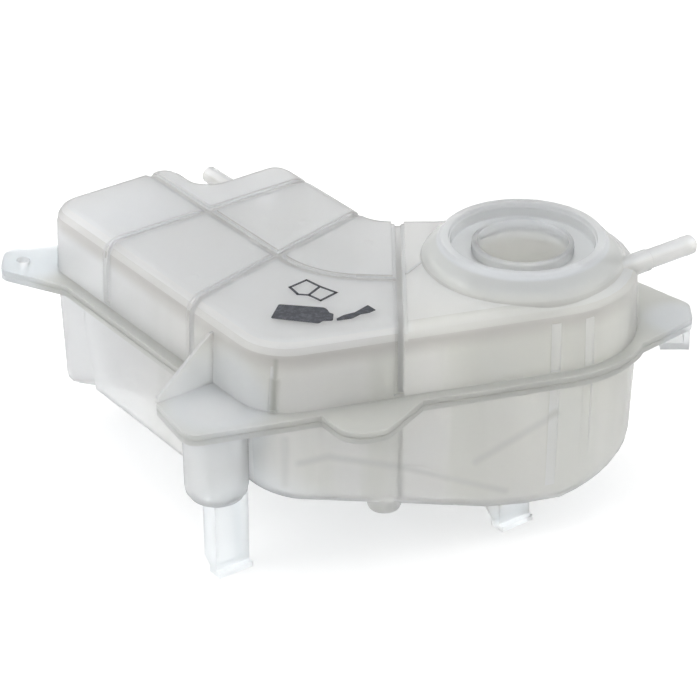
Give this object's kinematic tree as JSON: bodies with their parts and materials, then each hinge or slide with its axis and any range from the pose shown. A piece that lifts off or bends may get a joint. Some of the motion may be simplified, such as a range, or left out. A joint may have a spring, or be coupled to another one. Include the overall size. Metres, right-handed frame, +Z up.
{
  "type": "coolant expansion tank",
  "caption": "Translucent moulded tank: a grooved block and a round chamber with an open filler neck, hose nipples, weld flange with ears, and feet.",
  "frame": {"origin": "centre of the filler tube's mouth; the rim around it stands 3.2 mm higher", "axes": "+X from the block along the neck arm, +Y away from the printed front wall, +Z up along the filler neck"},
  "size_m": [0.3604, 0.2361, 0.148],
  "materials": {
    "milky_plastic": "milky, slightly translucent moulded polypropylene with a satin skin",
    "pin_metal": "plain stainless pins"
  },
  "bodies": {
    "root": {"upper_shell": "milky_plastic", "lower_shell": "milky_plastic", "sensor_pin_near": "pin_metal", "sensor_pin_far": "pin_metal"}
  },
  "joints": []
}
